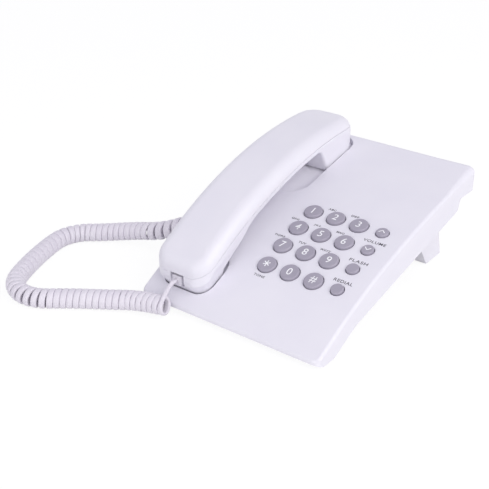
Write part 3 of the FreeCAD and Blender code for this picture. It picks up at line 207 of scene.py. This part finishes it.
finish = {
    "upper_case": white, "lower_case": white, "desk_stand": white, "hook_plunger": white,
    "handset_outer_shell": handset_white, "handset_inner_shell": handset_white,
    "rubber_feet": rubber, "case_screws": steel, "board_screws": steel, "handset_screws": steel,
    "main_board": laminate, "board_parts": black, "keypad_mat": silicone, "hook_switch": black,
    "ringer_sounder": brass, "line_jack": black, "base_jack": white, "handset_jack": white,
    "ringer_switch_body": black, "dial_mode_switch_body": black, "ringer_switch_knob": black,
    "dial_mode_switch_knob": black, "receiver_gasket": silicone, "receiver_capsule": can,
    "mic_boot": silicone, "mic_capsule": can, "handset_weight": iron,
    "base_plug": pale, "handset_plug": pale, "coiled_cord": jacket,
}
for name, node in nodes.items():
    node.data.materials.clear()
    node.data.materials.append(finish.get(name, grey))


# Pieces
def piece(name, mesh, body, material):
    made = bpy.data.objects.new(name, mesh)
    bpy.context.scene.collection.objects.link(made)
    mesh.materials.clear()
    mesh.materials.append(material)
    if body:
        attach(made, body)
    return made


def lettering(name, words, body, place, height, width, weight, material):
    """Flat printed word centred on place, sizes in millimetres: width 0 is free, weight thickens it."""
    curve = bpy.data.curves.new(name, "FONT")
    curve.body = words
    curve.resolution_u = 6
    curve.space_character = 1.12
    curve.offset = weight
    holder = bpy.data.objects.new(name + "_text", curve)
    bpy.context.scene.collection.objects.link(holder)
    bpy.context.view_layer.update()
    mesh = bpy.data.meshes.new_from_object(holder.evaluated_get(bpy.context.evaluated_depsgraph_get()))
    bpy.data.objects.remove(holder)
    corners = np.array([v.co for v in mesh.vertices])
    middle = (corners.min(0) + corners.max(0)) / 2
    wide, tall = (corners.max(0) - corners.min(0))[:2]
    grow_y = height * MM / tall
    grow_x = width * MM / wide if width else grow_y
    mesh.transform(place @ Matrix.Diagonal((grow_x, grow_y, 1, 1)) @ Matrix.Translation(-Vector(middle)))
    mesh.name = name
    return piece(name, mesh, body, material)


digits = "1234567890#"
key_names = ["key_" + digit for digit in digits[:-1]] + ["key_hash"]
letters = ("", "ABC", "DEF", "GHI", "JKL", "MNO", "PQRS", "TUV", "WXYZ", "", "")
print_lift = 0.00007
digit_height, digit_weight = 5.8, 0.004
letter_height, letter_pitch, letter_weight = 1.9, 2.0, 0.02
letter_x, letter_y = -7.9, 8.7
word_weight = 0.012
for digit, key, group in zip(digits, key_names, letters):
    place = key_top(key) @ Matrix.Translation((0, 0, print_lift))
    lettering("digit_" + key, digit, key, place, digit_height, 0, digit_weight, ink_white)
    if group:
        spot = on_panel(key, letter_x, letter_y, print_lift)
        lettering("letters_" + group.lower(), group, "base", spot, letter_height, letter_pitch * len(group),
                  letter_weight, ink_grey)

# Each word with its key, its distance along the panel from it, height and width
words = (("TONE", "key_star", -9.1, 1.9, 8.8), ("VOLUME", "volume_up_key", -9.7, 2.5, 17.0),
         ("FLASH", "flash_key", 8.4, 2.5, 13.8), ("REDIAL", "redial_key", 8.4, 2.5, 14.0))
for word, key, y, height, width in words:
    spot = on_panel(key, 0, y, print_lift)
    lettering("word_" + word.lower(), word, "base", spot, height, width, word_weight, ink_grey)


bar_step = 0.004


def strokes(name, key, lines, thick):
    """Printed bars on a key, each straight between two points; all in millimetres."""
    bars = bmesh.new()
    for level, (a, b) in enumerate(lines):
        a, b = Vector(a), Vector(b)
        off = (b - a).normalized().orthogonal() * thick / 2
        bars.faces.new([bars.verts.new((*c, level * bar_step)) for c in (a - off, b - off, b + off, a + off)])
    mesh = bpy.data.meshes.new(name)
    bars.to_mesh(mesh)
    bars.free()
    mesh.transform(key_top(key) @ Matrix.Translation((0, 0, print_lift)) @ Matrix.Scale(MM, 4))
    return piece(name, mesh, key, ink_white)


arrow_wide, arrow_tall, arrow_stroke = 2.3, 1.1, 0.7
star_reach, star_stroke = 2.7, 0.75
for name, key, way in (("arrow_up", "volume_up_key", 1), ("arrow_down", "volume_down_key", -1)):
    peak = (0, arrow_tall * way)
    strokes(name, key, [((side * arrow_wide, -arrow_tall * way), peak) for side in (-1, 1)], arrow_stroke)
star = [(star_reach * math.cos(a), star_reach * math.sin(a)) for a in
        (math.pi / 2, math.pi * 7 / 6, math.pi * 11 / 6)]
strokes("digit_key_star", "key_star", [((x, y), (-x, -y)) for x, y in star], star_stroke)


# Curly cord
def route_points():
    """Fine points along the coil's axis, in millimetres, read from its smooth spline."""
    curve = bpy.data.curves.new("coil_axis", "CURVE")
    curve.dimensions = "3D"
    curve.resolution_u = 40
    spline = curve.splines.new("NURBS")
    spline.points.add(len(coil_route) - 1)
    for (x, y, z), target in zip(coil_route, spline.points):
        target.co = (handset_x + x * MM, base_front + y * MM, z * MM, 1.0)
    spline.order_u = 3
    spline.use_endpoint_u = True
    holder = bpy.data.objects.new("coil_axis", curve)
    bpy.context.scene.collection.objects.link(holder)
    bpy.context.view_layer.update()
    mesh = bpy.data.meshes.new_from_object(holder.evaluated_get(bpy.context.evaluated_depsgraph_get()))
    points = np.array([v.co for v in mesh.vertices]) / MM
    bpy.data.objects.remove(holder)
    bpy.data.meshes.remove(mesh)
    return points


def unit(v):
    return v / np.linalg.norm(v, axis=-1, keepdims=True)


def resample(points, count):
    steps = np.linalg.norm(np.diff(points, axis=0), axis=1)
    along = np.concatenate([[0], np.cumsum(steps)])
    wanted = np.linspace(0, along[-1], count)
    return np.stack([np.interp(wanted, along, points[:, k]) for k in range(3)], axis=1), along[-1]


def hermite(a, a_dir, b, b_dir, pull_a, pull_b, count):
    t = np.linspace(0, 1, count)[:, None]
    return ((2 * t ** 3 - 3 * t ** 2 + 1) * a + (t ** 3 - 2 * t ** 2 + t) * a_dir * pull_a
            + (3 * t ** 2 - 2 * t ** 3) * b + (t ** 3 - t ** 2) * b_dir * pull_b)


per_turn = 30
mean_radius = coil_radius - band_thick / 2
axis, axis_length = resample(route_points(), per_turn * coil_turns + 1)
along = np.linspace(0, axis_length, len(axis))
stations, pitches, gaps = np.array(coil_spacing).T
pitch = np.interp(along, stations, pitches)
turn = np.concatenate([[0], np.cumsum((1 / pitch[1:] + 1 / pitch[:-1]) / 2)])
pitch *= turn[-1] / coil_turns * axis_length / (len(axis) - 1)
turn *= coil_turns / turn[-1]
ahead = unit(np.gradient(axis, axis=0))
side = unit(np.cross(ahead, [0, 0, 1]))
up = np.cross(side, ahead)
angle = (end_angle + 2 * math.pi * (turn - coil_turns))[:, None]
outward = side * np.cos(angle) + up * np.sin(angle)
helix = axis + outward * mean_radius
heading = unit(np.gradient(helix, axis=0))
# The turns crowd on the inner side of a bend, so their bands are narrower there
curving = np.gradient(ahead, axis=0) / (axis_length / (len(axis) - 1))
room = pitch * (1 - coil_radius * (curving * outward).sum(1))
band = np.minimum(pitch - np.interp(along, stations, gaps), room - least_gap)

base_low, base_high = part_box("base_plug")
hand_low, hand_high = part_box("handset_plug")
base_end = np.array([base_low.x, (base_low.y + base_high.y) / 2, 0]) / MM
base_end[2] = base_high.z / MM - plug_drop
hand_end = np.array([(hand_low.x + hand_high.x) / 2, hand_low.y, 0]) / MM
hand_end[2] = hand_high.z / MM - plug_drop
start = base_end - np.array([plug_straight, 0, 0])
stop = hand_end - np.array([0, plug_straight, 0])
lead = hermite(start, np.array([-1.0, 0, 0]), helix[0], heading[0], *lead_pulls, end_points)
tail = hermite(helix[-1], heading[-1], stop, np.array([0, 1.0, 0]), *tail_pulls, end_points)
path = np.concatenate([[base_end], lead[:-1], helix, tail[1:], [hand_end]])
flat_lead = np.tile(np.array([0, 0, 1.0]), (len(lead), 1))
flat_tail = np.tile(np.array([0, 0, 1.0]), (len(tail), 1))
fade_lead = np.linspace(0, 1, len(lead))[:, None]
fade_tail = np.linspace(1, 0, len(tail))[:, None]
flat_lead = flat_lead * (1 - fade_lead) + outward[0] * fade_lead
flat_tail = flat_tail * (1 - fade_tail) + outward[-1] * fade_tail
normal = np.concatenate([flat_lead[:1], flat_lead[:-1], outward, flat_tail[1:], flat_tail[-1:]])
ease = per_turn // 4
ease_in = np.linspace(0, 1, ease)
band[:ease] = tail_size + (band[:ease] - tail_size) * ease_in
band[-ease:] = tail_size + (band[-ease:] - tail_size) * ease_in[::-1]
width = np.concatenate([[tail_size] * len(lead), band, [tail_size] * len(tail)])
thick = np.full(len(helix), band_thick)
thick[:ease] = tail_size + (band_thick - tail_size) * ease_in
thick[-ease:] = tail_size + (band_thick - tail_size) * ease_in[::-1]
thick = np.concatenate([[tail_size] * len(lead), thick, [tail_size] * len(tail)])

tangent = unit(np.gradient(path, axis=0))
normal = unit(normal - tangent * (normal * tangent).sum(1, keepdims=True))
across = np.cross(tangent, normal)
section = []
for k in range(section_sides):
    a = 2 * math.pi * k / section_sides
    c, s = math.cos(a), math.sin(a)
    section.append((math.copysign(abs(c) ** width_power, c) / 2, math.copysign(abs(s) ** thick_power, s) / 2))
rings = [[p + a * u * w + n * v * t for u, v in section]
         for p, a, n, w, t in zip(path, across, normal, width, thick)]
tube = bmesh.new()
made = [[tube.verts.new(Vector(v) * MM) for v in ring] for ring in rings]
for a, b in zip(made, made[1:]):
    for k in range(section_sides):
        n = (k + 1) % section_sides
        tube.faces.new((a[k], a[n], b[n], b[k]))
tube.faces.new(list(reversed(made[0])))
tube.faces.new(made[-1])
bmesh.ops.recalc_face_normals(tube, faces=tube.faces)
cord_mesh = bpy.data.meshes.new("handset_cord")
tube.to_mesh(cord_mesh)
tube.free()
cord_mesh.shade_smooth()
cord = piece("handset_cord", cord_mesh, None, jacket)
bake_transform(cord)
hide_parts("coiled_cord")

# Floor, light and camera
def background_rays(tree):
    """Socket that is 1 for rays that show the white background: seen, mirrored or through glass."""
    rays = tree.nodes.new("ShaderNodeLightPath")
    socket = rays.outputs["Is Camera Ray"]
    for kind in ("Is Glossy Ray", "Is Transmission Ray"):
        either = tree.nodes.new("ShaderNodeMath")
        either.operation = "MAXIMUM"
        tree.links.new(socket, either.inputs[0])
        tree.links.new(rays.outputs[kind], either.inputs[1])
        socket = either.outputs[0]
    return socket


floor_mesh = bpy.data.meshes.new("floor")
floor_half = 4.0
corners = [(x * floor_half, y * floor_half, 0) for x, y in ((-1, -1), (1, -1), (1, 1), (-1, 1))]
floor_mesh.from_pydata(corners, [], [(0, 1, 2, 3)])
floor = bpy.data.objects.new("floor", floor_mesh)
bpy.context.scene.collection.objects.link(floor)
paper = bpy.data.materials.new("white_floor")
paper.use_nodes = True
tree = paper.node_tree
tree.nodes.clear()
out = tree.nodes.new("ShaderNodeOutputMaterial")
matt = tree.nodes.new("ShaderNodeBsdfDiffuse")
matt.inputs["Color"].default_value = (0.9, 0.9, 0.9, 1)
glow = tree.nodes.new("ShaderNodeEmission")
glow.inputs["Strength"].default_value = 1.06
part = tree.nodes.new("ShaderNodeMath")
part.operation = "MULTIPLY"
part.inputs[1].default_value = 0.85
mix = tree.nodes.new("ShaderNodeMixShader")
tree.links.new(background_rays(tree), part.inputs[0])
tree.links.new(part.outputs[0], mix.inputs["Fac"])
tree.links.new(matt.outputs[0], mix.inputs[1])
tree.links.new(glow.outputs[0], mix.inputs[2])
tree.links.new(mix.outputs[0], out.inputs["Surface"])
floor_mesh.materials.append(paper)

world = bpy.data.worlds.new("studio")
bpy.context.scene.world = world
world.use_nodes = True
sky = world.node_tree
aim = sky.nodes.new("ShaderNodeTexCoord")
parts = sky.nodes.new("ShaderNodeSeparateXYZ")
sky.links.new(aim.outputs["Generated"], parts.inputs["Vector"])
height_tone = sky.nodes.new("ShaderNodeMix")
height_tone.data_type = "RGBA"
height_tone.inputs["A"].default_value = (1.0, 1.0, 0.99, 1)
height_tone.inputs["B"].default_value = (0.965, 0.95, 1.13, 1)
height_level = sky.nodes.new("ShaderNodeMapRange")
height_level.inputs["To Min"].default_value = 0.85
height_level.inputs["To Max"].default_value = 0.47
ambient = sky.nodes["Background"]
sky.links.new(parts.outputs["Z"], height_tone.inputs["Factor"])
sky.links.new(parts.outputs["Z"], height_level.inputs["Value"])
sky.links.new(height_tone.outputs["Result"], ambient.inputs["Color"])
sky.links.new(height_level.outputs["Result"], ambient.inputs["Strength"])
backdrop = sky.nodes.new("ShaderNodeBackground")
backdrop.inputs["Color"].default_value = (1, 1, 1, 1)
choose = sky.nodes.new("ShaderNodeMixShader")
sky.links.new(background_rays(sky), choose.inputs["Fac"])
sky.links.new(ambient.outputs[0], choose.inputs[1])
sky.links.new(backdrop.outputs[0], choose.inputs[2])
sky.links.new(choose.outputs[0], sky.nodes["World Output"].inputs["Surface"])


def lamp(name, place, aim, size, power):
    data = bpy.data.lights.new(name, "AREA")
    data.size = size
    data.energy = power
    data.color = (1.0, 0.99, 0.95)
    made_lamp = bpy.data.objects.new(name, data)
    made_lamp.location = place
    made_lamp.rotation_euler = (Vector(aim) - Vector(place)).to_track_quat("-Z", "Y").to_euler()
    bpy.context.scene.collection.objects.link(made_lamp)


lamp("side_lamp", (1.0, -0.25, 0.97), (0, 0, 0.05), 1.0, 8.8)
lamp("front_lamp", (0.14, -1.33, 0.42), (0, 0, 0.05), 0.8, 2.5)

camera_data = bpy.data.cameras.new("camera")
camera_data.sensor_width = 36.0
camera_data.lens = 66.42
camera_data.shift_x = 0.00495
camera_data.shift_y = 0.0024
camera = bpy.data.objects.new("camera", camera_data)
right, rise, back = (0.7925, 0.6099, 0.0), (-0.2772, 0.3602, 0.8908), (0.5434, -0.706, 0.4544)
turned = Matrix((right, rise, back)).transposed().to_4x4()
camera_place = (0.31348, base_front - 0.38701, 0.31937)
camera.matrix_world = Matrix.Translation(camera_place) @ turned
bpy.context.scene.collection.objects.link(camera)
bpy.context.scene.camera = camera
bpy.context.scene.view_settings.view_transform = "Standard"
